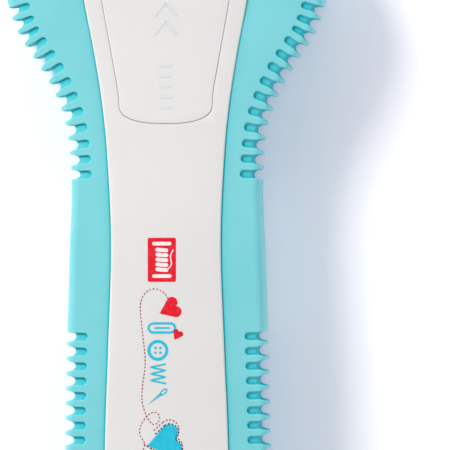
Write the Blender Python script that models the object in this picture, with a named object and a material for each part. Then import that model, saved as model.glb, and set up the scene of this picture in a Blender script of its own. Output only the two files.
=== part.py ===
"""Seam ripper with a flat soft-grip handle, a clear cap and an exchangeable blade unit.

The tool lies on its flat underside. +Z is the normal of its broad face, its length runs along Y
with the blade at +Y, and the origin is the middle of the resting face's plane. The driving
dimensions are in millimetres, and every vertex is turned into metres where it is made.
"""
import math

import bmesh
import bpy
from mathutils import Matrix, Vector

MM = 0.001
PLAY = 0.15                 # half of the gap between two neighbouring pieces

# Handle, along its length
BUTT_Y = -69.0
BUTT_ROUND = 14.0           # length of the rounded butt
GRIP_REAR_Y = -62.0
GRIP_FRONT_Y = 26.5
SHOULDER_Y = 18.5           # where the handle is widest
NOSE_Y = 30.0
NECK_FRONT_Y = 33.0
NOSE_HALF_WIDTH = 7.0
WIDEST = 18.1
BUTT_HALF_WIDTH = 11.3

# Half-width of the whole handle, and of the white panel between the grips, as (Y, half-width)
OUTLINE = ((-55, BUTT_HALF_WIDTH), (-34, 11.2), (-13, 10.65), (-5.8, 10.4), (0, 10.8), (3, 11.55),
           (6, 12.85), (8.7, 14.5), (11.5, 16.3), (15.1, 17.5), (SHOULDER_Y, WIDEST))
PANEL = ((-62, 7.1), (-34, 6.8), (-23, 6.4), (-11.3, 6.05), (-1.4, 6.5), (4.1, 7.07),
         (9.6, 7.95), (15.1, 9.0), (19, 9.5), (27, 9.6))

# Height of the crest of the face, as (Y, Z)
CREST = ((-69, 8.6), (-62, 11.6), (-50, 13.3), (-30, 14.0), (-10, 13.6), (5, 12.6), (18, 11.9), (30, 10.9))
CROWN = 0.5                 # how far the panel's edges lie below its crest
PARTING_Z = 6.0             # plane where the shells meet, also the plane of the blade
WALL = 1.8
PANEL_EDGE = 0.4            # rounding of the shells between the grips
END_EDGE = 2.4              # rounding of the shells at the butt and the nose
STEP_DRAFT = 0.05           # slope of the steps that the grips' ends butt against

# Soft grips and their lamellas
GRIP_BOTTOM = 0.6
GRIP_DROP = 0.35            # the grips lie this far below the panel's edge
LAMELLA_PITCH = 1.63
NOTCH_HALF = 0.46
NOTCH_FLOOR_HALF = 0.36
NOTCH_DEPTH = 0.95
SCOOP_DEPTH = 2.3
FRONT_NOTCHES = 13
FRONT_NOTCH_Y = -4.05       # centre of the rearmost notch of the front group
REAR_NOTCHES = 21
REAR_NOTCH_Y = -21.9        # centre of the foremost notch of the rear group

# Neck and collar round the blade opening
NECK = (5.0, 3.7)           # half-width and half-height
COLLAR_HOLE = (5.5, 4.1)
COLLAR_OUTER = (6.9, 5.3)
COLLAR_FRONT_Y = 33.2

# Channel for the blade unit
CHANNEL_HALF = 3.3
CHANNEL_LOW = 3.5
CHANNEL_HIGH = 8.5
CHANNEL_REAR_Y = 7.4
RECESS_HALF = 2.6           # narrower recess behind it, for the latch spring
RECESS_LOW = 1.5
SEAT_Z = 2.7                # seat under the fixed end of the spring
SEAT_FRONT_Y = -8.0
RECESS_REAR_Y = -14.0

# Blade unit
HOLDER_HALF = 3.0
HOLDER_LOW = 3.8
HOLDER_HIGH = 8.2
HOLDER_REAR_Y = 8.0
BOSS_REAR_Y = 33.6
BOSS_FRONT_Y = 39.6
BOSS = (4.6, 3.4)
POCKET_HALF = 2.2
POCKET_REAR_Y = 14.0
POCKET_FRONT_Y = 33.0
STEM_HALF = 1.9
BLADE_HALF_THICK = 0.6
RIVETS_Y = {"holder_rivet_rear": 19.0, "holder_rivet_front": 28.0}
RIVET_RADIUS = 0.7
BALL_CENTRE = (-3.0, 58.4)
BALL_RADIUS = 1.3
BLADE_TIP_Y = 66.0

# Cap
CAP_MOUTH_Y = 33.8
CAP_ROUND_Y = 60.0          # where the rounded end starts
CAP_TIP_Y = 69.05
CAP_MOUTH = (5.9, 4.7)
CAP_END = (5.6, 4.4)
CAP_WALL = 1.0

# Lock lever, hinged at its front
LEVER = ((3.6, 5.2), (8.5, 5.9), (11.8, 6.5), (15.1, 7.07), (19, 7.6), (22, 7.6))
LEVER_REAR_Y = 1.5
LEVER_REAR_ROUND = 2.1
LEVER_FRONT_Y = 23.6
LEVER_FRONT_ROUND = 1.8
LEVER_PROUD = 0.25
LEVER_THICK = 1.7
LEVER_GAP = 0.3
LEVER_REAR_GAP = 0.5
DECK_Z = 9.7                # floor of the lever's pocket
PIN_Y = 21.5
PIN_Z = 9.9
PIN_RADIUS = 0.7
PIN_HALF = 8.6
KNUCKLE_RADIUS = 1.4
PLUNGER = (4.2, 6.2)        # rear and front of the plunger under the lever
PLUNGER_LOW = 3.9

# Latch spring and screws
LEAF = (3.0, 3.4)
LEAF_HALF = 1.9
LEAF_REAR_Y = -13.2
LEAF_FRONT_Y = 11.0
TOOTH_Y = (9.4, 10.2)
TOOTH_HIGH = 4.7
SPRING_SCREW_Y = -10.6
SCREWS = {"shell_screw_rear": (0.0, -57.0), "shell_screw_middle": (0.0, -32.0),
          "shell_screw_front_left": (-6.3, 12.0), "shell_screw_front_right": (6.3, 12.0)}
SCREW_TIP_Z = 8.8
SCREW_SHANK = 1.0
SCREW_HEAD = 1.8
COUNTERBORE_Z = 2.0
BORE = 1.35

WHITE = (0.80, 0.79, 0.775)
TURQUOISE = (0.24, 0.68, 0.73)
STEEL = (0.62, 0.63, 0.65)
RED = (0.76, 0.02, 0.03)
CLEAR = (0.86, 0.93, 0.95)


# --- curves -----------------------------------------------------------------------------------

def smooth_curve(points):
    """Returns y -> value on a smooth curve through the points, flat at both of its ends."""
    slopes = [0.0]
    for before, after in zip(points, points[2:]):
        slopes.append((after[1] - before[1]) / (after[0] - before[0]))
    slopes.append(0.0)

    def value(y):
        y = min(max(y, points[0][0]), points[-1][0])
        i = 0
        while i < len(points) - 2 and y > points[i + 1][0]:
            i += 1
        span = points[i + 1][0] - points[i][0]
        t = (y - points[i][0]) / span
        rise = points[i + 1][1] - points[i][1]
        curve = (3 - 2 * t) * t * t * rise
        tangents = span * t * (1 - t) * (slopes[i] * (1 - t) - slopes[i + 1] * t)
        return points[i][1] + curve + tangents
    return value


outline_curve = smooth_curve(OUTLINE)
panel_half = smooth_curve(PANEL)
crest_height = smooth_curve(CREST)
lever_curve = smooth_curve(LEVER)


def outline_half(y):
    """Half-width of the handle: a curve between an elliptic butt and an elliptic shoulder."""
    if y < OUTLINE[0][0]:
        u = min((OUTLINE[0][0] - y) / BUTT_ROUND, 1.0)
        return BUTT_HALF_WIDTH * math.sqrt(1 - u * u)
    if y > SHOULDER_Y:
        u = min((y - SHOULDER_Y) / (NOSE_Y - SHOULDER_Y), 1.0)
        return NOSE_HALF_WIDTH + (WIDEST - NOSE_HALF_WIDTH) * math.sqrt(1 - u * u)
    return outline_curve(y)


def lever_half(y):
    """Half-width of the lever, closed at both ends by a blunt rounding."""
    if y < LEVER_REAR_Y + LEVER_REAR_ROUND:
        u = min((LEVER_REAR_Y + LEVER_REAR_ROUND - y) / LEVER_REAR_ROUND, 1.0)
    else:
        u = max((y - LEVER_FRONT_Y + LEVER_FRONT_ROUND) / LEVER_FRONT_ROUND, 0.0)
    return lever_curve(y) * (1 - min(u, 1.0) ** 2.5) ** 0.4


def steps(start, end, count):
    return [start + (end - start) * i / count for i in range(count + 1)]


def oval(half_width, half_height, segments=24, power=2.6):
    """Points of a superellipse in the XZ plane about the blade's plane."""
    ring = []
    for i in range(segments):
        angle = 2 * math.pi * i / segments
        c = math.cos(angle)
        s = math.sin(angle)
        x = half_width * math.copysign(abs(c) ** (2 / power), c)
        z = half_height * math.copysign(abs(s) ** (2 / power), s)
        ring.append((x, PARTING_Z + z))
    return ring


# --- mesh helpers -----------------------------------------------------------------------------

def material(name, colour, roughness, metallic=0.0, transmission=0.0):
    mat = bpy.data.materials.new(name)
    mat.use_nodes = True
    shader = mat.node_tree.nodes["Principled BSDF"]
    shader.inputs["Base Color"].default_value = (*colour, 1.0)
    shader.inputs["Roughness"].default_value = roughness
    shader.inputs["Metallic"].default_value = metallic
    shader.inputs["Transmission Weight"].default_value = transmission
    return mat


def add_object(name, bm, mat=None, parent=None, smooth=False):
    """Makes an object from a mesh in millimetres, its origin on its parent's."""
    origin = parent.location.copy() if parent else Vector()
    bmesh.ops.remove_doubles(bm, verts=bm.verts, dist=1e-5)
    bmesh.ops.recalc_face_normals(bm, faces=bm.faces)
    bmesh.ops.scale(bm, verts=bm.verts, vec=(MM, MM, MM))
    bmesh.ops.translate(bm, verts=bm.verts, vec=-origin)
    mesh = bpy.data.meshes.new(name)
    bm.to_mesh(mesh)
    bm.free()
    if smooth:
        mesh.shade_smooth()
        mesh.set_sharp_from_angle(angle=math.radians(35))
    obj = bpy.data.objects.new(name, mesh)
    bpy.context.scene.collection.objects.link(obj)
    obj.parent = parent
    if mat:
        mesh.materials.append(mat)
    return obj


def add_frame(name, place):
    """An empty that a body's pieces hang on, at the body's joint."""
    frame = bpy.data.objects.new(name, None)
    frame.empty_display_size = 0.01
    frame.location = Vector(place) * MM
    bpy.context.scene.collection.objects.link(frame)
    return frame


def loft(rings):
    """A closed solid through rings of equal length, with flat ends."""
    bm = bmesh.new()
    rows = [[bm.verts.new(point) for point in ring] for ring in rings]
    count = len(rows[0])
    for row, after in zip(rows, rows[1:]):
        for i in range(count):
            j = (i + 1) % count
            bm.faces.new((row[i], row[j], after[j], after[i]))
    bm.faces.new(rows[0])
    bm.faces.new(rows[-1])
    return bm


def box(x, y, z):
    """A block between the pairs x, y and z."""
    bm = bmesh.new()
    bmesh.ops.create_cube(bm, size=1.0)
    bmesh.ops.scale(bm, verts=bm.verts, vec=(x[1] - x[0], y[1] - y[0], z[1] - z[0]))
    bmesh.ops.translate(bm, verts=bm.verts, vec=((x[0] + x[1]) / 2, (y[0] + y[1]) / 2, (z[0] + z[1]) / 2))
    return bm


def rod(radius, low, high, centre=(0.0, 0.0), axis="Z", segments=20):
    """A round bar along Z at (x, y), or along X at (y, z)."""
    bm = bmesh.new()
    bmesh.ops.create_cone(bm, cap_ends=True, segments=segments, radius1=radius, radius2=radius,
                          depth=high - low)
    if axis == "X":
        bmesh.ops.rotate(bm, verts=bm.verts, matrix=Matrix.Rotation(math.pi / 2, 3, "Y"))
        bmesh.ops.translate(bm, verts=bm.verts, vec=((low + high) / 2, *centre))
    else:
        bmesh.ops.translate(bm, verts=bm.verts, vec=(*centre, (low + high) / 2))
    return bm


def combine(obj, bm, operation):
    """Cuts the solid bm out of obj, or joins it on, with a Boolean on obj."""
    tool = add_object(f"{obj.name}_{operation.lower()}_{len(obj.modifiers) + 1}", bm, parent=obj.parent)
    tool.hide_render = True
    tool.display_type = "WIRE"
    modifier = obj.modifiers.new(tool.name, "BOOLEAN")
    modifier.operation = operation
    modifier.solver = "EXACT"
    modifier.object = tool


def cut(obj, bm):
    combine(obj, bm, "DIFFERENCE")


def join(obj, bm):
    combine(obj, bm, "UNION")


# --- shells -----------------------------------------------------------------------------------

def shell_stations():
    """(Y, half-width, edge rounding) from the butt to the nose."""
    stations = []
    for angle in (87, 78, 66, 52, 40, 31):
        y = OUTLINE[0][0] - BUTT_ROUND * math.sin(math.radians(angle))
        stations.append((y, outline_half(y), END_EDGE))
    stations.append((GRIP_REAR_Y - PLAY, outline_half(GRIP_REAR_Y - PLAY), END_EDGE))
    for y in steps(GRIP_REAR_Y - PLAY + STEP_DRAFT, GRIP_FRONT_Y + PLAY - STEP_DRAFT, 30):
        stations.append((y, panel_half(y) - PLAY, PANEL_EDGE))
    for angle in (45, 54, 63, 72, 80, 86):
        y = SHOULDER_Y + (NOSE_Y - SHOULDER_Y) * math.sin(math.radians(angle))
        if angle == 45:
            y = GRIP_FRONT_Y + PLAY
        stations.append((y, outline_half(y), END_EDGE))
    return stations


def butt_rise(y):
    """How far the underside rises, and the face falls, towards the end of the butt."""
    u = max((GRIP_REAR_Y - 2 - y) / (GRIP_REAR_Y - 2 - BUTT_Y), 0.0)
    return 2.6 * (1 - math.sqrt(1 - min(u, 1.0) ** 2))


def upper_ring(y, half, edge, crest, base):
    edge = min(edge, half * 0.8)

    def crowned(x):
        return crest - CROWN * (x / half) ** 2
    right = [(half, base), (half, crowned(half) - edge), (half - 0.3 * edge, crowned(half) - 0.3 * edge)]
    top = [((half - edge) * share, crowned((half - edge) * share)) for share in (1, 0.6, 0.2)]
    ring = right + top
    ring += [(-x, z) for x, z in reversed(ring)]
    return [(x, y, z) for x, z in ring]


def lower_ring(y, half, edge, bottom, top):
    edge = min(edge, half * 0.8)
    ring = [(half, top), (half, bottom + edge), (half - 0.3 * edge, bottom + 0.3 * edge), (half - edge, bottom)]
    ring += [(-x, z) for x, z in reversed(ring)]
    return [(x, y, z) for x, z in ring]


def make_upper_shell(mat, parent):
    base = PARTING_Z + PLAY
    rings = [upper_ring(y, half, edge, crest_height(y) - butt_rise(y), base)
             for y, half, edge in shell_stations()]
    for y in (NOSE_Y, NECK_FRONT_Y):
        rings.append(upper_ring(y, NECK[0], END_EDGE, PARTING_Z + NECK[1], base))
    shell = add_object("upper_shell", loft(rings), mat, parent, smooth=True)
    cavity = [upper_ring(y, panel_half(y) - WALL, PANEL_EDGE, crest_height(y) - WALL, PARTING_Z - 1)
              for y in steps(-60.0, -17.0, 10)]
    cut(shell, loft(cavity))
    cut(shell, box((-CHANNEL_HALF, CHANNEL_HALF), (CHANNEL_REAR_Y, 40), (PARTING_Z - 1, CHANNEL_HIGH)))
    cut(shell, box((-RECESS_HALF, RECESS_HALF), (RECESS_REAR_Y, CHANNEL_REAR_Y + 1),
                   (PARTING_Z - 1.2, CHANNEL_HIGH - 0.2)))
    cut(shell, loft(lever_rings(LEVER_GAP, DECK_Z, 20.0)))
    cut(shell, box((-RECESS_HALF, RECESS_HALF), (2.8, 8.2), (CHANNEL_HIGH - 1, DECK_Z + 1)))
    cut(shell, rod(KNUCKLE_RADIUS + 0.35, -7.7, 7.7, (PIN_Y, PIN_Z), "X"))
    cut(shell, rod(PIN_RADIUS + 0.2, -PIN_HALF - 0.15, PIN_HALF + 0.15, (PIN_Y, PIN_Z), "X", 16))
    for name, (x, y) in SCREWS.items():
        if x == 0:
            join(shell, rod(2.8, base, crest_height(y) - 1, (x, y)))
        cut(shell, rod(BORE, PARTING_Z - 1, SCREW_TIP_Z + 0.3, (x, y)))
    return shell


def make_lower_shell(mat, parent):
    top = PARTING_Z - PLAY
    rings = [lower_ring(y, half, edge, butt_rise(y), top) for y, half, edge in shell_stations()]
    for y in (NOSE_Y, NECK_FRONT_Y):
        rings.append(lower_ring(y, NECK[0], END_EDGE, PARTING_Z - NECK[1], top))
    shell = add_object("lower_shell", loft(rings), mat, parent, smooth=True)
    cavity = [lower_ring(y, panel_half(y) - WALL, PANEL_EDGE, WALL, PARTING_Z + 1)
              for y in steps(-60.0, -17.0, 10)]
    cut(shell, loft(cavity))
    cut(shell, box((-CHANNEL_HALF, CHANNEL_HALF), (CHANNEL_REAR_Y, 40), (CHANNEL_LOW, PARTING_Z + 1)))
    cut(shell, box((-RECESS_HALF, RECESS_HALF), (SEAT_FRONT_Y, 12.2), (RECESS_LOW, PARTING_Z + 1.2)))
    cut(shell, box((-RECESS_HALF, RECESS_HALF), (RECESS_REAR_Y, SEAT_FRONT_Y + 1), (SEAT_Z, PARTING_Z + 1.4)))
    cut(shell, rod(1.1, 0.9, SEAT_Z + 1, (0, SPRING_SCREW_Y)))
    for name, (x, y) in SCREWS.items():
        if x == 0:
            join(shell, rod(2.8, 1.0, top, (x, y)))
        cut(shell, rod(SCREW_HEAD + 0.3, -1, COUNTERBORE_Z, (x, y)))
        cut(shell, rod(BORE, COUNTERBORE_Z - 1, PARTING_Z + 1, (x, y)))
    return shell


def make_collar(mat, parent):
    bevel = 0.5
    hole = oval(*COLLAR_HOLE)
    outer = oval(*COLLAR_OUTER)
    front = oval(COLLAR_OUTER[0] - bevel, COLLAR_OUTER[1] - bevel)
    rear_y = NOSE_Y + 2 * PLAY
    path = [(hole, rear_y), (outer, rear_y), (outer, COLLAR_FRONT_Y - bevel), (front, COLLAR_FRONT_Y),
            (hole, COLLAR_FRONT_Y)]
    return add_object("nose_collar", tube(path), mat, parent, smooth=True)


def tube(path):
    """A ring-shaped solid: the closed path of (ring, Y) that its section runs through."""
    bm = bmesh.new()
    rows = [[bm.verts.new((x, y, z)) for x, z in ring] for ring, y in path]
    count = len(rows[0])
    for row, after in zip(rows, rows[1:] + rows[:1]):
        for i in range(count):
            j = (i + 1) % count
            bm.faces.new((row[i], row[j], after[j], after[i]))
    return bm


# --- soft grips -------------------------------------------------------------------------------

def outline_path():
    """Close points (distance, x, y, inward normal) of the right outline, from rear to front."""
    ys = [GRIP_REAR_Y + 0.25 * i for i in range(int((GRIP_FRONT_Y - GRIP_REAR_Y) / 0.25) + 1)]
    path = []
    run = 0.0
    for i, y in enumerate(ys):
        x = outline_half(y)
        if i:
            run += math.hypot(x - path[-1][1], y - path[-1][2])
        slope = (outline_half(y + 0.2) - outline_half(y - 0.2)) / 0.4
        path.append((run, x, y, Vector((-1.0, slope)).normalized()))
    return path


def at_distance(path, run):
    for before, after in zip(path, path[1:]):
        if after[0] >= run:
            t = (run - before[0]) / (after[0] - before[0])
            return [a + (b - a) * t for a, b in zip(before[1:], after[1:])]
    return list(path[-1][1:])


def notch_places(path):
    """Distances along the outline of the notches' centres."""
    def distance_at(y):
        return next(point[0] for point in path if point[2] >= y)
    front = distance_at(FRONT_NOTCH_Y)
    rear = distance_at(REAR_NOTCH_Y)
    return ([rear - LAMELLA_PITCH * i for i in range(REAR_NOTCHES)][::-1]
            + [front + LAMELLA_PITCH * i for i in range(FRONT_NOTCHES)])


def grip_ring(path, run, notched, side):
    """One cross-section of a grip, square to the outline in its outer part."""
    x, y, normal = at_distance(path, run)
    to_end = min(y - GRIP_REAR_Y, GRIP_FRONT_Y - y)
    square = min(max(to_end / 6, 0.0), 1.0)
    normal = (normal * square + Vector((-1.0, 0.0)) * (1 - square)).normalized()
    lean = 0.4 * normal.y * (x - panel_half(y))
    inner_y = min(max(y + lean, GRIP_REAR_Y), GRIP_FRONT_Y)
    inner_x = panel_half(inner_y) + PLAY
    top = crest_height(y) - CROWN - GRIP_DROP
    if notched:
        rim = [(SCOOP_DEPTH, GRIP_BOTTOM), (1.4, 1.9), (NOTCH_DEPTH, 3.4), (NOTCH_DEPTH, top - 3.8),
               (1.4, top - 2.1), (SCOOP_DEPTH, top - 0.5)]
    else:
        rim = [(SCOOP_DEPTH, GRIP_BOTTOM), (0.9, 1.0), (0.0, 2.7), (0.0, top - 3.2),
               (0.7, top - 1.3), (SCOOP_DEPTH, top - 0.5)]
    ring = [(side * inner_x, inner_y, GRIP_BOTTOM)]
    ring += [(side * (x + normal.x * depth), y + normal.y * depth, z) for depth, z in rim]
    ring.append((side * inner_x, inner_y, top))
    return ring


def make_grip(name, side, mat, parent):
    path = outline_path()
    marks = []
    for centre in notch_places(path):
        marks += [(centre - NOTCH_HALF, False), (centre - NOTCH_FLOOR_HALF, True),
                  (centre + NOTCH_FLOOR_HALF, True), (centre + NOTCH_HALF, False)]
    plain = [run for run in steps(0.0, path[-1][0], 34)
             if all(abs(run - mark) > 1.2 for mark, _ in marks)]
    marks += [(run, False) for run in plain]
    rings = [grip_ring(path, run, notched, side) for run, notched in sorted(marks)]
    return add_object(name, loft(rings), mat, parent)


# --- lock lever -------------------------------------------------------------------------------

def lever_rings(gap, low, high):
    """Sections of the lever's outline, grown by a gap, from rear to front."""
    rear_gap = LEVER_REAR_GAP if gap else 0.0
    shares = (0.02, 0.08, 0.2, 0.4, 0.7, 1.0)
    ys = [LEVER_REAR_Y + LEVER_REAR_ROUND * share for share in shares]
    ys += steps(5.0, 20.0, 6)
    ys += [LEVER_FRONT_Y - LEVER_FRONT_ROUND * share for share in reversed(shares)]
    rings = []
    for y in ys:
        half = lever_half(y) + gap
        shift = 0.0
        if y < LEVER_REAR_Y + LEVER_REAR_ROUND:
            shift = -rear_gap
        elif y > 20:
            shift = gap
        z_low = low if low is not None else crest_height(y) + LEVER_PROUD - LEVER_THICK
        ring = [(half, z_low)]
        for share in (1.0, 0.5, -0.5, -1.0):
            x = half * share
            z = high
            if high is None:
                z = crest_height(y) - CROWN * (x / panel_half(y)) ** 2 + LEVER_PROUD
            ring.append((x, z))
        ring.append((-half, z_low))
        rings.append([(x, y + shift, z) for x, z in ring])
    return rings


def make_lever(mat, parent):
    lever = add_object("lock_lever", loft(lever_rings(0.0, None, None)), mat, parent)
    join(lever, rod(KNUCKLE_RADIUS, -6.4, 6.4, (PIN_Y, PIN_Z), "X"))
    join(lever, box((-2.0, 2.0), PLUNGER, (PLUNGER_LOW, crest_height(5.2) - 0.6)))
    cut(lever, rod(PIN_RADIUS + 0.25, -8, 8, (PIN_Y, PIN_Z), "X", 16))
    return lever


def make_latch_spring(mat, parent):
    low, high = LEAF
    tooth_rear, tooth_front = TOOTH_Y
    side = [(LEAF_REAR_Y, low), (LEAF_FRONT_Y, low), (LEAF_FRONT_Y, high), (tooth_front, high),
            (tooth_front, TOOTH_HIGH), (tooth_front - 0.4, TOOTH_HIGH), (tooth_rear, high), (LEAF_REAR_Y, high)]
    rings = [[(x, y, z) for y, z in side] for x in (-LEAF_HALF, LEAF_HALF)]
    spring = add_object("latch_spring", loft(rings), mat, parent)
    cut(spring, rod(1.1, low - 1, high + 1, (0, SPRING_SCREW_Y)))
    return spring


# --- screws -----------------------------------------------------------------------------------

def screw(name, centre, head_z, tip_z, head_radius, shank, mat, parent):
    """A screw turned from its head_z towards tip_z, with a cross recess in its head."""
    way = 1 if tip_z > head_z[0] else -1
    head = sorted(head_z)
    obj = add_object(name, rod(head_radius, *head, centre), mat, parent, smooth=True)
    join(obj, rod(shank, *sorted((head_z[1] - 0.2 * way, tip_z)), centre, segments=16))
    x, y = centre
    floor = sorted((head_z[0] - 0.5 * way, head_z[0] + 0.6 * way))
    cut(obj, box((x - 1.1, x + 1.1), (y - 0.25, y + 0.25), floor))
    cut(obj, box((x - 0.25, x + 0.25), (y - 1.1, y + 1.1), floor))
    return obj


# --- blade unit -------------------------------------------------------------------------------

def make_holder(mat, parent):
    bar = box((-HOLDER_HALF, HOLDER_HALF), (HOLDER_REAR_Y, BOSS_REAR_Y + 1), (HOLDER_LOW, HOLDER_HIGH))
    holder = add_object("blade_holder", bar, mat, parent, smooth=True)
    boss = []
    for y, shrink in ((BOSS_REAR_Y, 0.0), (BOSS_FRONT_Y - 0.6, 0.0), (BOSS_FRONT_Y, 0.6)):
        boss.append([(x, y, z) for x, z in oval(BOSS[0] - shrink, BOSS[1] - shrink)])
    join(holder, loft(boss))
    slot_low = PARTING_Z - BLADE_HALF_THICK - 0.2
    slot_high = PARTING_Z + BLADE_HALF_THICK + 0.2
    cut(holder, box((-POCKET_HALF, POCKET_HALF), (POCKET_REAR_Y, POCKET_FRONT_Y), (slot_low, HOLDER_HIGH + 1)))
    cut(holder, box((-POCKET_HALF + 0.01, POCKET_HALF - 0.01), (POCKET_FRONT_Y - 1, BOSS_FRONT_Y + 1),
                    (slot_low + 0.01, slot_high)))
    cut(holder, box((-2.3, 2.3), (TOOTH_Y[0] - 0.4, TOOTH_Y[1] + 0.4), (HOLDER_LOW - 1, TOOTH_HIGH + 0.3)))
    for y in RIVETS_Y.values():
        cut(holder, rod(RIVET_RADIUS + 0.25, HOLDER_LOW - 1, PARTING_Z, (0, y), segments=16))
    return holder


def make_cover(mat, parent):
    low = PARTING_Z + BLADE_HALF_THICK + 0.3
    block = box((-STEM_HALF, STEM_HALF), (POCKET_REAR_Y + 0.3, POCKET_FRONT_Y - 0.3), (low, HOLDER_HIGH - 0.1))
    cover = add_object("blade_holder_cover", block, mat, parent)
    for y in RIVETS_Y.values():
        cut(cover, rod(RIVET_RADIUS + 0.25, low - 1, HOLDER_HIGH + 1, (0, y), segments=16))
    return cover


def fork_outline():
    """The fork seen from above: stem, waist, long prong to the right, short prong to the left."""
    stem_front = BOSS_FRONT_Y + 2
    right = [(1.3, 44.5), (2.2, 47.5), (3.0, 51.5), (3.05, 56.0), (2.2, 61.0)]
    crotch = [(1.15, 60.0), (1.2, 56.5), (0.85, 53.6), (0.2, 52.2), (-0.6, 52.3), (-1.3, 53.8), (-2.0, 56.0)]
    prong_end = [(-2.6, 57.6), (-2.75, 58.6), (-3.25, 58.6), (-3.3, 57.5)]
    left = [(-3.4, 55.0), (-3.05, 51.0), (-2.2, 47.5), (-1.3, 44.5)]
    return ([(-STEM_HALF, POCKET_REAR_Y + 0.4), (STEM_HALF, POCKET_REAR_Y + 0.4), (STEM_HALF, stem_front)]
            + right + [(1.0, BLADE_TIP_Y)] + crotch + prong_end + left + [(-STEM_HALF, stem_front)])


def make_blade(mat, parent):
    rings = [[(x, y, PARTING_Z + z) for x, y in fork_outline()] for z in (-BLADE_HALF_THICK, BLADE_HALF_THICK)]
    blade = add_object("ripper_blade", loft(rings), mat, parent)
    for y in RIVETS_Y.values():
        cut(blade, rod(RIVET_RADIUS + 0.25, PARTING_Z - 2, PARTING_Z + 2, (0, y), segments=16))
    return blade


def make_ball(mat, parent):
    bm = bmesh.new()
    bmesh.ops.create_uvsphere(bm, u_segments=16, v_segments=10, radius=BALL_RADIUS)
    bmesh.ops.translate(bm, verts=bm.verts, vec=(*BALL_CENTRE, PARTING_Z))
    ball = add_object("safety_ball", bm, mat, parent, smooth=True)
    x, y = BALL_CENTRE
    cut(ball, box((x - 0.65, x + 0.75), (y - 3, y + 0.4), (PARTING_Z - 0.75, PARTING_Z + 0.75)))
    return ball


def cap_skin(shrink, tip_y):
    """Rings of the cap's outer or inner skin, from its mouth to its rounded tip."""
    places = [(y, 1.0) for y in (CAP_MOUTH_Y, 47.0, CAP_ROUND_Y)]
    for degrees in (15, 32, 50, 68, 84):
        angle = math.radians(degrees)
        places.append((CAP_ROUND_Y + (tip_y - CAP_ROUND_Y) * math.sin(angle), math.cos(angle)))
    rings = []
    for y, size in places:
        share = (min(y, CAP_ROUND_Y) - CAP_MOUTH_Y) / (CAP_ROUND_Y - CAP_MOUTH_Y)
        half_width, half_height = [a + (b - a) * share - shrink for a, b in zip(CAP_MOUTH, CAP_END)]
        rings.append([(x, y, z) for x, z in oval(half_width * size, half_height * size)])
    return rings


def make_cap(mat, parent):
    outer = cap_skin(0.0, CAP_TIP_Y)
    inner = cap_skin(CAP_WALL, CAP_TIP_Y - CAP_WALL)
    return add_object("clear_cap", loft(outer[::-1] + inner), mat, parent, smooth=True)


# --- assembly ---------------------------------------------------------------------------------

def main():
    for obj in list(bpy.data.objects):
        bpy.data.objects.remove(obj, do_unlink=True)
    handle = add_frame("handle_frame", (0, 0, 0))
    lever_axis = add_frame("lever_axis", (0, PIN_Y, PIN_Z))
    blade_frame = add_frame("blade_unit_frame", (0, BOSS_REAR_Y, PARTING_Z))
    cap_frame = add_frame("cap_frame", (0, CAP_MOUTH_Y, PARTING_Z))

    make_upper_shell(material("upper_shell", WHITE, 0.22), handle)
    make_lower_shell(material("lower_shell", WHITE, 0.25), handle)
    make_grip("left_grip", -1, material("left_grip", TURQUOISE, 0.6), handle)
    make_grip("right_grip", 1, material("right_grip", TURQUOISE, 0.6), handle)
    make_collar(material("nose_collar", TURQUOISE, 0.45), handle)
    make_lever(material("lock_lever", WHITE, 0.22), lever_axis)
    pin = rod(PIN_RADIUS, -PIN_HALF, PIN_HALF, (PIN_Y, PIN_Z), "X", 16)
    add_object("lever_pin", pin, material("lever_pin", STEEL, 0.3, 1.0), handle, smooth=True)
    make_latch_spring(material("latch_spring", STEEL, 0.35, 1.0), handle)
    screw("latch_spring_screw", (0, SPRING_SCREW_Y), (4.8, 3.7), 1.2, 1.7, 0.8,
          material("latch_spring_screw", STEEL, 0.35, 1.0), handle)
    for name, place in SCREWS.items():
        screw(name, place, (0.4, COUNTERBORE_Z - 0.3), SCREW_TIP_Z, SCREW_HEAD, SCREW_SHANK,
              material(name, STEEL, 0.35, 1.0), handle)

    make_holder(material("blade_holder", WHITE, 0.35), blade_frame)
    make_cover(material("blade_holder_cover", WHITE, 0.35), blade_frame)
    for name, y in RIVETS_Y.items():
        rivet = rod(RIVET_RADIUS, HOLDER_LOW + 0.2, HOLDER_HIGH - 0.3, (0, y), segments=16)
        add_object(name, rivet, material(name, STEEL, 0.3, 1.0), blade_frame, smooth=True)
    make_blade(material("ripper_blade", STEEL, 0.2, 1.0), blade_frame)
    make_ball(material("safety_ball", RED, 0.3), blade_frame)
    make_cap(material("clear_cap", CLEAR, 0.08, transmission=0.9), cap_frame)


main()
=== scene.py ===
"""Looks of the seam ripper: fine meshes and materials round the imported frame.

Lengths are in millimetres in the frame's axes (+Z up, +Y towards the blade, +X right); every
vertex is turned into metres where it is made.
"""
import math
from bisect import bisect_right

import bmesh
import bpy
from mathutils import Matrix, Vector


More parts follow.
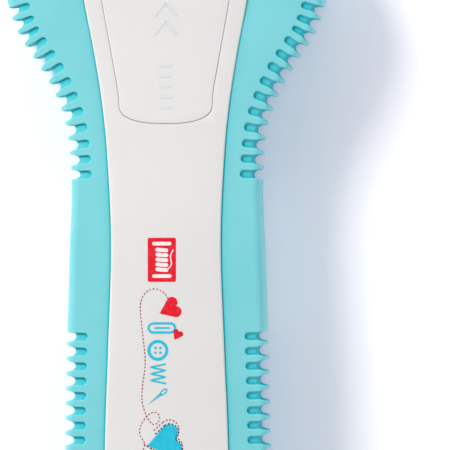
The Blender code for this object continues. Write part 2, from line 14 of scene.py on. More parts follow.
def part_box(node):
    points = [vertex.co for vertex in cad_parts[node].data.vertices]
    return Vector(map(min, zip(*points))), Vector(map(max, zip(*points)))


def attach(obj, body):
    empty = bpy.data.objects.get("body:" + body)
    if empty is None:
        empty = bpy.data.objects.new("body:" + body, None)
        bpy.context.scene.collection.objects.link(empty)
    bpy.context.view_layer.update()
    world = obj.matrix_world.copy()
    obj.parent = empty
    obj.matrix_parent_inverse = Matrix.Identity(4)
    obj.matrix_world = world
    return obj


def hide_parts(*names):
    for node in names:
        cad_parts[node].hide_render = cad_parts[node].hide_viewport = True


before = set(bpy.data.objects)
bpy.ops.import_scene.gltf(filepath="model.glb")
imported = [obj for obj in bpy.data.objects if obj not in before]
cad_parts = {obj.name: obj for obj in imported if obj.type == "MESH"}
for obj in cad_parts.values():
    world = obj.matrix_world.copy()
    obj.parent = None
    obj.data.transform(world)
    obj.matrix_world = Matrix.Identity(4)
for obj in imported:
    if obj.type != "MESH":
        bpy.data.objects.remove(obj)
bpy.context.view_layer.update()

MM = 0.001


def node_box(node):
    """A node's lowest and highest corners in millimetres."""
    return [[value / MM for value in corner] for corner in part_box(node)]


# Sizes read from the frame
SHELL_LOW, SHELL_HIGH = node_box("upper_shell")
GRIP_LOW, GRIP_HIGH = node_box("right_grip")
HOLDER_LOW, HOLDER_HIGH = node_box("blade_holder")
COLLAR_LOW, COLLAR_HIGH = node_box("nose_collar")
CAP_LOW, CAP_HIGH = node_box("clear_cap")
BALL_LOW, BALL_HIGH = node_box("safety_ball")
BLADE_LOW, BLADE_HIGH = node_box("ripper_blade")
LEVER_LOW, LEVER_HIGH = node_box("lock_lever")
PIN_LOW, PIN_HIGH = node_box("lever_pin")

# Handle, along its length
BUTT_ROUND = 14.0
BUTT_START_Y = -55.0
GRIP_REAR_Y = GRIP_LOW[1]
GRIP_FRONT_Y = GRIP_HIGH[1]
SHOULDER_Y = 18.5
NOSE_Y = 30.0
NECK_FRONT_Y = SHELL_HIGH[1]
NOSE_HALF_WIDTH = 7.0
WIDEST = GRIP_HIGH[0]
BUTT_HALF_WIDTH = 11.35
OUTLINE = ((BUTT_START_Y, BUTT_HALF_WIDTH), (-34, 11.27), (-13, 10.72), (-5.8, 10.47), (0, 10.83), (3, 11.55),
           (6, 12.85), (8.7, 14.5), (11.5, 16.3), (15.1, 17.5), (SHOULDER_Y, WIDEST))
PANEL = ((-62, 7.03), (-34, 6.73), (-23, 6.33), (-11.3, 5.98), (-1.4, 6.43), (4.1, 7.0),
         (9.6, 7.88), (15.1, 8.93), (19, 9.43), (27, 9.53))
CREST = ((-69, 9.5), (-62, 11.8), (-50, 13.3), (-30, 13.96), (-10, 13.6), (5, 12.6), (18, 11.9), (30, 10.9))
CROWN = 0.14
PARTING_Z = (HOLDER_LOW[2] + HOLDER_HIGH[2]) / 2
SEAM_HALF = 0.05            # half of the seam that shows between two shells, or shell and grip
GRIP_SEAM = 0.01            # what shows between the shells' sides and the grips
PANEL_WALL = 0.15           # how far the shells' side walls stand outside the panel's edge
PANEL_EDGE = 0.24
END_EDGE = 2.4
STEP_DRAFT = 0.05

# Soft grips
GRIP_BOTTOM = GRIP_LOW[2]
GRIP_DROP = 0.3
LAMELLA_PITCH = 1.63
SLOT_HALF = 0.4
NOTCH_DEPTH = 1.08          # the slots are open right through this far in from the rim
SLOT_END = 2.35
SLOT_DROP = 0.42
SLOT_EDGE = 0.12            # rounding of a slot's mouth
EDGE_STEPS = (0.006, 0.03, 0.07, SLOT_EDGE)
ROOT_ROUND = 0.25           # rounding between a notch's wall and its slot's floor
TIP_HALF = 0.22
SLOT_LEAN = 0.5
RIM_REACH = 1.3
RIM_POWER = 5.0
RIM_FALL = 0.1
NOTCH_ROUND = 0.49
RIM = 3.1                   # width of the rim that the slots are in
FRONT_NOTCHES = 13
FRONT_NOTCH_Y = -4.16
REAR_NOTCHES = 21
REAR_NOTCH_Y = -21.9
FIFTHS = (0.2, 0.4, 0.6, 0.8, 1.0)

# Lock lever
LEVER = ((3.6, 5.12), (8.5, 5.83), (11.8, 6.43), (15.1, 7.0), (19, 7.53), (22, 7.53))
LEVER_REAR_Y = LEVER_LOW[1]
LEVER_REAR_ROUND = 2.1
LEVER_FRONT_Y = LEVER_HIGH[1]
LEVER_FRONT_ROUND = 1.8
LEVER_PROUD = 0.06
LEVER_THICK = 1.5
LEVER_GAP = 0.03
LEVER_SWING = 0.4           # how much further back the gap is below, where the pressed lever goes
DECK_Z = 9.7
STROKE_STEP = 0.35
PIN_CENTRE = [(low + high) / 2 for low, high in zip(PIN_LOW[1:], PIN_HIGH[1:])]
KNUCKLE_RADIUS = 1.4

# Nose and insides
NECK_HALF = (5.0, 3.7)      # half-width and half-height of the neck that carries the collar
NECK_EDGE = 2.2
CHANNEL_X = (-3.3, 3.3)     # the channel that the blade holder slides in
CHANNEL_Y = (7.4, 40)
BAY_X = (-2.6, 2.6)         # the bay of the latch spring
SCREW_WELL = 2.1            # radius of the wells that the screws' heads are sunk in
BOSS_REAR_Y = 33.6          # where the oval front of the blade holder starts


# --- curves ---

def smooth_curve(points):
    """Returns y -> value on a smooth curve through the points, flat at both of its ends."""
    slopes = [(after[1] - before[1]) / (after[0] - before[0]) for before, after in zip(points, points[2:])]
    slopes = [0.0, *slopes, 0.0]

    def value(y):
        y = min(max(y, points[0][0]), points[-1][0])
        i = next(i for i, point in enumerate(points[1:]) if y <= point[0])
        (start, low), (end, high) = points[i:i + 2]
        t = (y - start) / (end - start)
        tangents = (end - start) * t * (1 - t) * (slopes[i] * (1 - t) - slopes[i + 1] * t)
        return low + (3 - 2 * t) * t * t * (high - low) + tangents
    return value


outline_curve = smooth_curve(OUTLINE)
panel_half = smooth_curve(PANEL)
crest_height = smooth_curve(CREST)
lever_curve = smooth_curve(LEVER)


def outline_half(y):
    """Half-width of the handle: a curve between an elliptic butt and an elliptic shoulder."""
    if y < BUTT_START_Y:
        u = min((BUTT_START_Y - y) / BUTT_ROUND, 1.0)
        return BUTT_HALF_WIDTH * math.sqrt(1 - u * u)
    if y > SHOULDER_Y:
        u = min((y - SHOULDER_Y) / (NOSE_Y - SHOULDER_Y), 1.0)
        return NOSE_HALF_WIDTH + (WIDEST - NOSE_HALF_WIDTH) * math.sqrt(1 - u * u)
    return outline_curve(y)


def butt_rise(y):
    """How far the underside rises, and the face falls, towards the end of the butt."""
    start = GRIP_REAR_Y - 2
    u = max((start - y) / (start + BUTT_ROUND - BUTT_START_Y), 0.0)
    return 2.6 * (1 - math.sqrt(1 - min(u, 1.0) ** 2))


def face_z(x, y):
    """Height of the crowned white face."""
    return crest_height(y) - CROWN * (x / panel_half(y)) ** 2


def lever_half(y):
    """Half-width of the lever, closed at both ends by a blunt rounding."""
    if y < LEVER_REAR_Y + LEVER_REAR_ROUND:
        u = min((LEVER_REAR_Y + LEVER_REAR_ROUND - y) / LEVER_REAR_ROUND, 1.0)
    else:
        u = max((y - LEVER_FRONT_Y + LEVER_FRONT_ROUND) / LEVER_FRONT_ROUND, 0.0)
    return lever_curve(y) * (1 - min(u, 1.0) ** 2.5) ** 0.4


def steps(start, end, count):
    return [start + (end - start) * i / count for i in range(count + 1)]


def smoothstep(low, high, value):
    t = min(max((value - low) / (high - low), 0.0), 1.0)
    return t * t * (3 - 2 * t)


def turns(*degrees):
    """The cosine and sine of each angle."""
    return [(math.cos(math.radians(angle)), math.sin(math.radians(angle))) for angle in degrees]


def mirrored(points):
    """The points' mirror images in x, in reverse order."""
    return [(-x, *rest) for x, *rest in reversed(points)]


def catmull(points, per_span, closed=False):
    """Points of a smooth curve through 2D points."""
    points = [Vector(p) for p in points]
    if closed:
        ends = (points[-1:], points[:2])
    else:
        ends = ([2 * points[0] - points[1]], [2 * points[-1] - points[-2]])
    points = ends[0] + points + ends[1]
    curve = []
    for a, b, c, d in zip(points, points[1:], points[2:], points[3:]):
        for t in steps(0.0, 1.0, per_span)[:-1]:
            curve.append(0.5 * (2 * b + (c - a) * t + (2 * a - 5 * b + 4 * c - d) * t ** 2
                                + (3 * b - a - 3 * c + d) * t ** 3))
    return curve if closed else curve + [points[-2]]


def oval(y, halves, shrink=0.0):
    """Points of a superellipse across the handle, from its half-width and half-height less a margin."""
    segments, power = 72, 2.6
    half_width, half_height = (half - shrink for half in halves)
    ring = []
    for i in range(segments):
        angle = 2 * math.pi * i / segments
        c, s = math.cos(angle), math.sin(angle)
        ring.append((half_width * math.copysign(abs(c) ** (2 / power), c), y,
                     PARTING_Z + half_height * math.copysign(abs(s) ** (2 / power), s)))
    return ring


# --- materials ---

def linear(red, green, blue):
    """A colour of 0-255 screen values as linear light."""
    values = []
    for value in (red, green, blue):
        value /= 255
        values.append(value / 12.92 if value < 0.04045 else ((value + 0.055) / 1.055) ** 2.4)
    return (*values, 1.0)


def scaled(colour, share):
    return (*(value * share for value in colour[:3]), 1.0)


def plug(tree, value, socket):
    """Links a socket into an input, or sets the input to a constant."""
    if isinstance(value, bpy.types.NodeSocket):
        tree.links.new(value, socket)
    else:
        socket.default_value = value


def fill(tree, node, **inputs):
    for name, value in inputs.items():
        plug(tree, value, node.inputs[name.replace("_", " ")])


def add_node(tree, kind, **inputs):
    node = tree.nodes.new(f"ShaderNode{kind}")
    fill(tree, node, **inputs)
    return node


class Surface:
    """A Principled material whose colour, roughness and bump come from object-space noise."""

    def __init__(self, name):
        self.material = bpy.data.materials.new(name)
        self.material.use_nodes = True
        self.tree = self.material.node_tree
        self.shader = self.tree.nodes["Principled BSDF"]
        self.place = self.add("TexCoord").outputs["Object"]

    def add(self, kind, **inputs):
        return add_node(self.tree, kind, **inputs)

    def set(self, **inputs):
        fill(self.tree, self.shader, **inputs)

    def noise(self, scale, detail, stretch=(1, 1, 1)):
        """Noise with features of about 1 / scale metres, stretched along an axis by a small factor."""
        place = self.add("Mapping", Vector=self.place, Scale=stretch).outputs["Vector"]
        return self.add("TexNoise", Vector=place, Scale=scale, Detail=detail).outputs["Fac"]

    def ramp(self, source, low, high, start=0.35, end=0.65):
        """The source's start..end mapped to low..high, as a number."""
        node = self.add("MapRange", Value=source, From_Min=start, From_Max=end, To_Min=low, To_Max=high)
        return node.outputs["Result"]

    def blend(self, factor, first, second):
        """Mixes two colours, each a constant or a socket, by a factor socket."""
        node = self.add("Mix")
        node.data_type = "RGBA"
        for value, index in ((factor, 0), (first, 6), (second, 7)):
            plug(self.tree, value, node.inputs[index])
        return node.outputs[2]

    def clouds(self, scale, detail, first, second):
        """Two colours mixed by a noise."""
        return self.blend(self.ramp(self.noise(scale, detail), 0.0, 1.0), first, second)

    def edges(self, radius):
        """0 on smooth faces, 1 within a radius in millimetres of a sharp edge."""
        rounded = self.add("Bevel", Radius=radius * MM)
        rounded.samples = 4
        agreement = self.add("VectorMath")
        agreement.operation = "DOT_PRODUCT"
        for node, socket in zip((rounded, self.add("NewGeometry")), agreement.inputs):
            plug(self.tree, node.outputs["Normal"], socket)
        return self.ramp(agreement.outputs["Value"], 1.0, 0.0, 0.93, 0.998)

    def cavity(self, distance, start, end):
        """0 on open faces, 1 in crevices narrower than the distance in millimetres, from ambient occlusion:
        the mask for painted shade.
        """
        node = self.add("AmbientOcclusion", Distance=distance * MM)
        node.samples = 8
        return self.ramp(node.outputs["AO"], 1.0, 0.0, start, end)

    def bump(self, *layers):
        """Bump layers of (height socket, strength, distance in millimetres)."""
        normal = None
        for height, strength, distance in layers:
            node = self.add("Bump", Height=height, Strength=strength, Distance=distance * MM)
            if normal:
                fill(self.tree, node, Normal=normal)
            normal = node.outputs["Normal"]
        self.set(Normal=normal)


def white_plastic(name, roughness=0.3, colour=(224, 222, 220), painted_seam_shade=True):
    """Glossy white ABS: faint flow mottling, orange peel, hairline scuffs, rubbed edges and painted warm
    shade in gaps and crevices.
    """
    s = Surface(name)
    base = linear(*colour)
    shown = s.blend(s.edges(0.12), s.clouds(90, 2, base, scaled(base, 0.975)), linear(231, 230, 228))
    # Painted shade: an ambient-occlusion mask darkens gaps and crevices to a warm brown.
    if painted_seam_shade:
        shown = s.blend(s.cavity(0.6, 0.25, 0.75), shown, linear(206, 176, 164))
    scuffs = s.noise(2400, 4, (1.0, 0.12, 1.0))
    s.bump((s.noise(1100, 2), 0.1, 0.008), (scuffs, 0.02, 0.002))
    s.set(Base_Color=shown, Roughness=s.ramp(scuffs, roughness - 0.02, roughness + 0.07, 0.45, 0.8),
          IOR=1.5, Coat_Weight=0.12, Coat_Roughness=0.2, Subsurface_Weight=0.25, Subsurface_Scale=0.0006,
          Subsurface_Radius=(1.0, 0.75, 0.6))
    return s.material


def soft_grip(name):
    """Satin turquoise elastomer: fine spark-eroded grain, cloudy tint, rubbed edges and painted deep-teal
    shade in its slots.
    """
    s = Surface(name)
    cloudy = s.clouds(140, 3, linear(124, 205, 211), linear(119, 201, 208))
    rubbed = s.blend(s.edges(0.2), cloudy, linear(142, 211, 216))
    s.bump((s.noise(5200, 2), 0.22, 0.02), (s.noise(300, 2), 0.08, 0.03))
    # Painted shade: an ambient-occlusion mask turns the slots and the step by the panel a deeper, red-less
    # teal.
    s.set(Base_Color=s.blend(s.cavity(1.2, 0.74, 0.95), rubbed, linear(0, 190, 203)),
          Roughness=s.ramp(s.noise(260, 4), 0.5, 0.68), IOR=1.42, Specular_IOR_Level=0.25,
          Subsurface_Weight=0.12, Subsurface_Scale=0.0012, Subsurface_Radius=(0.4, 0.9, 1.0))
    return s.material


def steel(name, roughness=0.3, stretch=(1, 1, 1), colour=(200, 203, 207)):
    """Ground steel: fine grinding lines along the stretched axis and small stains."""
    s = Surface(name)
    lines = s.noise(4200, 4, stretch)
    stained = s.ramp(s.noise(240, 4), 0.0, 1.0, 0.52, 0.7)
    base = linear(*colour)
    s.bump((lines, 0.25, 0.01))
    s.set(Base_Color=s.blend(stained, base, scaled(base, 0.86)), Metallic=1.0,
          Roughness=s.ramp(lines, roughness - 0.06, roughness + 0.12, 0.3, 0.7))
    return s.material


def red_plastic(name):
    """Glossy moulded plastic of the safety ball."""
    s = Surface(name)
    base = linear(224, 20, 40)
    s.bump((s.noise(1500, 2), 0.1, 0.008))
    s.set(Base_Color=s.clouds(300, 3, base, scaled(base, 0.9)), Roughness=s.ramp(s.noise(700, 4), 0.14, 0.26))
    return s.material


def ink(name, colour):
    """Pad-printed ink: slightly uneven cover and a silky surface."""
    s = Surface(name)
    base = linear(*colour)
    lighter = tuple(value + (1 - value) * 0.03 for value in base)
    s.bump((s.noise(3800, 2), 0.15, 0.006))
    s.set(Base_Color=s.blend(s.ramp(s.noise(2600, 3), 0.0, 1.0, 0.45, 0.7), base, lighter),
          Roughness=s.ramp(s.noise(900, 3), 0.4, 0.55), Specular_IOR_Level=0.3)
    return s.material


def clear_plastic(name):
    """Clear polystyrene with a faint cool tint, flow lines and fine handling haze."""
    s = Surface(name)
    s.bump((s.noise(160, 1, (1.0, 0.3, 1.0)), 0.06, 0.05))
    s.set(Base_Color=s.clouds(120, 2, linear(246, 251, 252), linear(240, 248, 250)),
          Roughness=s.ramp(s.noise(500, 5, (1.0, 0.1, 1.0)), 0.02, 0.12, 0.45, 0.8),
          Transmission_Weight=1.0, IOR=1.49)
    return s.material


def floor_paper(name):
    """Matt pale studio paper."""
    s = Surface(name)
    s.bump((s.noise(900, 4), 0.05, 0.02))
    s.set(Base_Color=s.clouds(40, 4, linear(251, 250, 251), linear(250, 249, 250)),
          Roughness=s.ramp(s.noise(60, 3), 0.8, 0.9), Specular_IOR_Level=0.1,
          Emission_Color=(0.91, 0.74, 1.0, 1.0), Emission_Strength=0.173)
    return s.material


# --- mesh helpers ---

def add_object(name, data):
    thing = bpy.data.objects.new(name, data)
    bpy.context.scene.collection.objects.link(thing)
    return thing


def add_piece(name, bm, material, body, *nodes, angle=35.0):
    """Makes a smooth-shaded piece from a mesh in millimetres, riding on a body."""
    bmesh.ops.remove_doubles(bm, verts=bm.verts, dist=1e-5)
    bmesh.ops.recalc_face_normals(bm, faces=bm.faces)
    bmesh.ops.scale(bm, verts=bm.verts, vec=(MM, MM, MM))
    mesh = bpy.data.meshes.new(name)
    bm.to_mesh(mesh)
    bm.free()
    piece = add_object(name, mesh)
    if material:
        mesh.materials.append(material)
    if body:
        finish_piece(piece, body, *nodes, angle=angle)
    return piece


def finish_piece(piece, body, *nodes, angle=35.0):
    piece.data.shade_smooth()
    piece.data.set_sharp_from_angle(angle=math.radians(angle))
    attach(piece, body)
    if nodes:
        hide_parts(*nodes)


def loft(rings, bm=None, closed=False):
    """A solid through rings of equal length, with flat ends or closed on itself."""
    bm = bm or bmesh.new()
    rows = [[bm.verts.new(point) for point in ring] for ring in rings]
    for row, after in zip(rows, rows[1:] + rows[:1] if closed else rows[1:]):
        for i in range(len(row)):
            j = (i + 1) % len(row)
            bm.faces.new((row[i], row[j], after[j], after[i]))
    if not closed:
        bm.faces.new(rows[0])
        bm.faces.new(rows[-1])
    return bm


def block(*spans):
    """A box from its lowest and highest x, y and z."""
    bm = bmesh.new()
    bmesh.ops.create_cube(bm, size=1.0)
    bmesh.ops.scale(bm, verts=bm.verts, vec=[high - low for low, high in spans])
    bmesh.ops.translate(bm, verts=bm.verts, vec=[(low + high) / 2 for low, high in spans])
    return bm


def rod(radius, low, high, centre, axis="Z", segments=48):
    """A round bar along Z at (x, y), or along X at (y, z)."""
    bm = bmesh.new()
    bmesh.ops.create_cone(bm, cap_ends=True, segments=segments, radius1=radius, radius2=radius,
                          depth=high - low)
    place = (*centre, (low + high) / 2)
    if axis == "X":
        bmesh.ops.rotate(bm, verts=bm.verts, matrix=Matrix.Rotation(math.pi / 2, 3, "Y"))
        place = (place[-1], *centre)
    bmesh.ops.translate(bm, verts=bm.verts, vec=place)
    return bm


def carve(piece, cuts, added=()):
    """Joins solids to a piece by Booleans, then cuts others out of it."""
    for operation, bm in [("UNION", bm) for bm in added] + [("DIFFERENCE", bm) for bm in cuts]:
        tool = add_piece("tool", bm, None, None)
        modifier = piece.modifiers.new("cut", "BOOLEAN")
        modifier.operation = operation
        modifier.solver = "EXACT"
        modifier.object = tool
        bpy.context.view_layer.update()
        graph = bpy.context.evaluated_depsgraph_get()
        mesh = bpy.data.meshes.new_from_object(piece.evaluated_get(graph))
        piece.modifiers.clear()
        spent = (piece.data, tool.data)
        piece.data = mesh
        bpy.data.objects.remove(tool, do_unlink=True)
        for old in spent:
            bpy.data.meshes.remove(old)


def soften(piece, width, chosen):
    """Bevels the piece's edges of more than 40 degrees that the test picks by their middle, in mm."""
    bm = bmesh.new()
    bm.from_mesh(piece.data)
    bmesh.ops.remove_doubles(bm, verts=bm.verts, dist=2e-7)
    edges = [edge for edge in bm.edges
             if len(edge.link_faces) == 2 and edge.calc_face_angle(0.0) > math.radians(40)
             and chosen((edge.verts[0].co + edge.verts[1].co) / (2 * MM))]
    bmesh.ops.bevel(bm, geom=edges, offset=width * MM, segments=2, profile=0.5, affect="EDGES",
                    clamp_overlap=True)
    bm.to_mesh(piece.data)
    bm.free()


# --- shells ---

def shell_stations():
    """(Y, half-width, edge rounding) from the butt to the nose."""
    rear = GRIP_REAR_Y - SEAM_HALF * 2
    front = GRIP_FRONT_Y + SEAM_HALF * 2
    butt = [BUTT_START_Y - (BUTT_START_Y - SHELL_LOW[1]) * math.sin(math.pi / 2 * share)
            for share in steps(1.0, 0.0, 26)]
    nose = [SHOULDER_Y + (NOSE_Y - SHOULDER_Y) * s for _, s in turns(*range(46, 88, 2))]

    def full_width(ys):
        return [(y, outline_half(y), END_EDGE) for y in ys]

    stations = full_width([y for y in butt if y < GRIP_REAR_Y - 0.2] + [rear])
    stations += [(y, panel_half(y) + PANEL_WALL - 2 * SEAM_HALF, PANEL_EDGE)
                 for y in steps(rear + STEP_DRAFT, front - STEP_DRAFT, 110)]
    return stations + full_width([front] + [y for y in nose if y > front + 0.1])


def rounded_side(half, edge, outer_z, way):
    """Points (x, z) of the right side's rounding, from its wall to its flat, going way (+1 up)."""
    return [(half - edge * (1 - c), outer_z - way * edge * (1 - s)) for c, s in turns(*range(0, 91, 15))]


def upper_ring(y, half, edge, crest):
    base = PARTING_Z + SEAM_HALF
    edge = min(edge, half * 0.8, (crest - CROWN - base) * 0.8)
    ring = [(half, base)]
    # The rounding is lifted onto the crowned face at its inner end.
    ring += [(x, z + CROWN * (1 - (x / half) ** 2)) for x, z in rounded_side(half, edge, crest - CROWN, 1)]
    for share in (0.84, 0.68, 0.52, 0.36, 0.18, 0.0):
        x = (half - edge) * share
        ring.append((x, crest - CROWN * (x / half) ** 2))
    ring += mirrored(ring[:-1])
    return [(x, y, z) for x, z in ring]


def lower_ring(y, half, edge, bottom):
    edge = min(edge, half * 0.8)
    ring = [(half, PARTING_Z - SEAM_HALF)] + rounded_side(half, edge, bottom, -1)
    ring.append(((half - edge) * 0.5, bottom))
    ring += mirrored(ring)
    return [(x, y, z) for x, z in ring]


def lever_rings(gap, swing, low, high):
    """Prism sections of the lever's outline grown by a gap, with room for its swing below the face."""
    shares = (0.003, 0.02, 0.06, 0.13, 0.23, 0.36, 0.52, 0.7, 0.85, 1.0)
    ys = [LEVER_REAR_Y + LEVER_REAR_ROUND * share for share in shares]
    ys += steps(LEVER_REAR_Y + LEVER_REAR_ROUND, LEVER_FRONT_Y - LEVER_FRONT_ROUND, 36)[1:-1]
    ys += [LEVER_FRONT_Y - LEVER_FRONT_ROUND * share for share in reversed(shares)]
    middle = (LEVER_REAR_Y + LEVER_FRONT_Y) / 2
    rings = []
    for y in ys:
        half = lever_half(y) + gap
        away = smoothstep(0.0, 8.0, abs(y - middle))
        grown = y + (gap if y > middle else -gap) * away
        drawn = grown - (0.0 if y > middle else swing * away)
        right = [(half + swing / 5, drawn, low), (half, grown, crest_height(y)), (half, grown, high)]
        rings.append(right + mirrored(right))
    return rings


def shell_rings(ring, outer_z, way):
    """A shell's sections by its own ring function, with the neck's in front, going way (+1 up)."""
    neck = ((NOSE_Y, 0.0), (NECK_FRONT_Y - 0.4, 0.0), (NECK_FRONT_Y, 0.3))
    return [ring(y, half, edge, outer_z(y)) for y, half, edge in shell_stations()] + [
        ring(y, NECK_HALF[0] - shrink, NECK_EDGE, PARTING_Z + way * (NECK_HALF[1] - shrink))
        for y, shrink in neck]


SCREWS = [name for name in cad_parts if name.startswith("shell_screw")]


def screw_centre(name):
    low, high = node_box(name)
    return ((low[0] + high[0]) / 2, (low[1] + high[1]) / 2)


def on_lever_rim(p):
    """True on the edge of the lever's opening in the face."""
    half = lever_half(p.y)
    return half > 0 and abs(p.x) < half + 0.6 and p.z > face_z(p.x, p.y) - 0.05


def make_upper_shell():
    rings = shell_rings(upper_ring, lambda y: crest_height(y) - butt_rise(y), 1)
    shell = add_piece("upper_shell_fine", loft(rings), white_plastic("white_face"), None)
    pin_radius = (PIN_HIGH[1] - PIN_LOW[1]) / 2
    opening = loft(lever_rings(LEVER_GAP, LEVER_SWING, DECK_Z, 14.0))
    channel = block(CHANNEL_X, CHANNEL_Y, (PARTING_Z - 1, 8.5))
    spring_bay = block(BAY_X, (-14.0, 8.0), (PARTING_Z - 1.2, 8.3))
    plunger_well = block(BAY_X, (2.8, 8.2), (7.5, DECK_Z + 1))
    knuckle_room = rod(KNUCKLE_RADIUS + 0.35, -7.6, 7.6, PIN_CENTRE, "X", 32)
    pin_bore = rod(pin_radius + 0.12, PIN_LOW[0] - 0.1, PIN_HIGH[0] + 0.1, PIN_CENTRE, "X", 24)
    carve(shell, (opening, channel, spring_bay, plunger_well, knuckle_room, pin_bore))
    soften(shell, 0.05, on_lever_rim)
    finish_piece(shell, "handle", "upper_shell")


def make_lower_shell():
    rings = shell_rings(lower_ring, butt_rise, -1)
    shell = add_piece("lower_shell_fine", loft(rings), white_plastic("white_underside", 0.32), None)
    channel = block(CHANNEL_X, CHANNEL_Y, (3.5, PARTING_Z + 1))
    spring_bay = block(BAY_X, (-8.0, 12.2), (1.5, PARTING_Z + 1.2))
    spring_seat = block(BAY_X, (-14.0, -7.0), (2.7, PARTING_Z + 1.4))
    cuts = [channel, spring_bay, spring_seat]
    centres = [screw_centre(name) for name in SCREWS]
    for centre in centres:
        cuts += [rod(SCREW_WELL, -1.0, 2.0, centre), rod(1.3, 1.0, PARTING_Z + 1, centre, segments=24)]
    carve(shell, cuts)
    soften(shell, 0.2, lambda p: abs(p.z) < 0.02 and any(
        abs(math.hypot(p.x - x, p.y - y) - SCREW_WELL) < 0.1 for x, y in centres))
    finish_piece(shell, "handle", "lower_shell")


def make_collar():
    """The ring round the blade opening, with a rolled front edge and a fine groove."""
    outer = (COLLAR_HIGH[0], PARTING_Z - COLLAR_LOW[2])
    hole = (5.5, 4.1)
    rear, front = COLLAR_LOW[1], COLLAR_HIGH[1]
    path = [(hole, 0.0, rear), (outer, 0.15, rear), (outer, 0.0, rear + 0.15), (outer, 0.0, rear + 1.0),
            (outer, 0.12, rear + 1.08), (outer, 0.12, rear + 1.26), (outer, 0.0, rear + 1.34)]
    path += [(outer, 0.6 * (1 - c), front - 0.6 * (1 - s)) for c, s in turns(0, 22, 45, 68, 90)]
    path += [(hole, -0.2, front), (hole, 0.0, front - 0.2)]
    rings = [oval(y, halves, shrink) for halves, shrink, y in path]
    add_piece("nose_collar_fine", loft(rings, closed=True), soft_grip("turquoise_collar"), "handle",
              "nose_collar", angle=30)


# --- soft grips ---

def outline_path():
    """Close points (distance, x, y, slope) of the right outline, from rear to front."""
    path = []
    run = 0.0
    for y in steps(GRIP_REAR_Y, GRIP_FRONT_Y, 700):
        x = outline_half(y)
        if path:
            run += math.hypot(x - path[-1][1], y - path[-1][2])
        path.append((run, x, y, (outline_half(y + 0.2) - outline_half(y - 0.2)) / 0.4))
    return path


OUTLINE_PATH = outline_path()
OUTLINE_RUNS = [point[0] for point in OUTLINE_PATH]


def on_outline(run):
    """x, y and slope at a distance along the outline."""
    run = min(max(run, 0.0), OUTLINE_RUNS[-1])
    i = min(bisect_right(OUTLINE_RUNS, run), len(OUTLINE_RUNS) - 1)
    before, after = OUTLINE_PATH[i - 1], OUTLINE_PATH[i]
    t = (run - before[0]) / (after[0] - before[0])
    return [a + (b - a) * t for a, b in zip(before[1:], after[1:])]


def distance_at(y):
    return next(point[0] for point in OUTLINE_PATH if point[2] >= y)


def comb_offsets():
    """Offsets of a notch's cross-sections from its centre, from 0 to half a pitch."""
    offsets = [SLOT_HALF * math.sin(math.radians(degrees)) for degrees in range(0, 91, 15)]
    offsets += [SLOT_HALF + step for step in EDGE_STEPS]
    return offsets + steps(offsets[-1], LAMELLA_PITCH / 2, 5)[1:]


def comb_lines():
    """(distance, offset from the nearest notch's centre or None, on a plain side) of every section."""
    front = distance_at(FRONT_NOTCH_Y)
    rear = distance_at(REAR_NOTCH_Y)
    combs = ([rear - LAMELLA_PITCH * i for i in reversed(range(REAR_NOTCHES))],
             [front + LAMELLA_PITCH * i for i in range(FRONT_NOTCHES)])
    half_pitch = LAMELLA_PITCH / 2
    lead = 0.6
    halves = comb_offsets()
    offsets = [-offset for offset in reversed(halves)][:-1] + halves[:-1]
    lines = []
    ends = [0.0]                # of the plain stretches
    for comb in combs:
        for centre in comb:
            for offset in offsets:
                plain = (centre == comb[0] and offset < 0) or (centre == comb[-1] and offset > 0)
                lines.append((centre + offset, offset, plain))
        lines.append((comb[-1] + half_pitch, half_pitch, True))
        ends += [comb[0] - half_pitch - lead, comb[-1] + half_pitch + lead]
    ends.append(OUTLINE_RUNS[-1])
    for low, high in zip(ends[::2], ends[1::2]):
        lines += [(run, None, True) for run in steps(low, high, max(int((high - low) / 0.9), 2))]
    return sorted(lines, key=lambda line: line[0])


def comb_depth(offset, plain):
    """How deep the comb's edge lies at an offset from a notch's centre: round roots, tapered fins."""
    if offset is None:
        return 0.0
    offset = abs(offset)
    centre = NOTCH_DEPTH - NOTCH_ROUND
    if plain and offset > SLOT_HALF:
        return centre * (1 - smoothstep(SLOT_HALF, SLOT_HALF + 0.08, offset))
    side = NOTCH_ROUND * 0.98
    if offset <= side:
        return centre + math.sqrt(NOTCH_ROUND ** 2 - offset ** 2)
    from_tip = LAMELLA_PITCH / 2 - offset
    if from_tip < TIP_HALF:
        return TIP_HALF - math.sqrt(TIP_HALF ** 2 - from_tip ** 2)
    start = centre + math.sqrt(NOTCH_ROUND ** 2 - side ** 2)
    share = (from_tip - TIP_HALF) / (LAMELLA_PITCH / 2 - side - TIP_HALF)
    return TIP_HALF + (start - TIP_HALF) * share


def rim_z(t, top, middle):
    """Height of the grip's upper face at a depth inwards from its edge."""
    if t >= RIM_REACH:
        return top - RIM_FALL * (RIM - t) / (RIM - RIM_REACH)
    rise = (1 - ((RIM_REACH - t) / RIM_REACH) ** RIM_POWER) ** (1 / RIM_POWER)
    return middle + (top - RIM_FALL - middle) * rise


def edge_drop(offset, t):
    """How far the face falls near a slot's mouth, which has a small rounding."""
    if offset is None:
        return 0.0
    straight = SLOT_END - SLOT_HALF
    beyond = (abs(offset) if t < straight else math.hypot(offset, t - straight)) - SLOT_HALF
    beyond = min(max(beyond, 0.0), SLOT_EDGE)
    return SLOT_EDGE - math.sqrt(SLOT_EDGE ** 2 - (SLOT_EDGE - beyond) ** 2)


